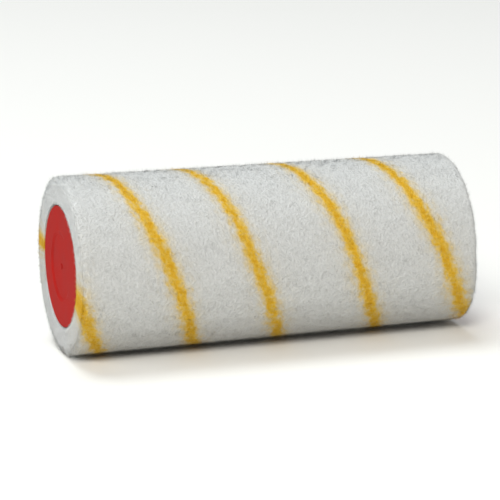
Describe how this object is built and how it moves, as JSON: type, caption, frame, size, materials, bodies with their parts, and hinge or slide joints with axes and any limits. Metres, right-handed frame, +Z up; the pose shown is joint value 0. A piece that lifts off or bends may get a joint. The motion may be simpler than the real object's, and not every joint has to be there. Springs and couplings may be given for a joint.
{
  "type": "paint roller refill",
  "caption": "Pile-covered paint roller refill with a closed plastic end cap, a helical two-colour fabric cover and an axle sleeve that pushes on to a frame's rod.",
  "frame": {"origin": "the middle of the roller, on its axis", "axes": "+X along the roller's axis, from the closed end cap to the open end where the rod goes in; +Z up"},
  "size_m": [0.18, 0.076, 0.076],
  "materials": {
    "core_plastic": "smooth extruded tube",
    "backing_fabric": "woven, coated backing",
    "white_pile": "soft cut pile",
    "yellow_pile": "soft cut pile",
    "red_plastic": "moulded, satin",
    "bush_plastic": "moulded, slightly waxy",
    "spring_steel": "bright round wire"
  },
  "bodies": {
    "axle": {"guide_tube": "bush_plastic", "open_end_bush": "bush_plastic", "rod_socket": "bush_plastic", "spring_clip": "spring_steel"},
    "drum": {"core_tube": "core_plastic", "fabric_backing": "backing_fabric", "white_pile_middle": "white_pile", "white_pile_seam": "white_pile", "first_yellow_row": "yellow_pile", "second_yellow_row": "yellow_pile", "closed_end_cap": "red_plastic", "open_end_cap": "red_plastic"}
  },
  "joints": [
    {"name": "roller_spin", "type": "hinge", "parent": "axle", "child": "drum", "pos_m": [0, 0, 0], "axis": [1, 0, 0], "continuous": true}
  ]
}
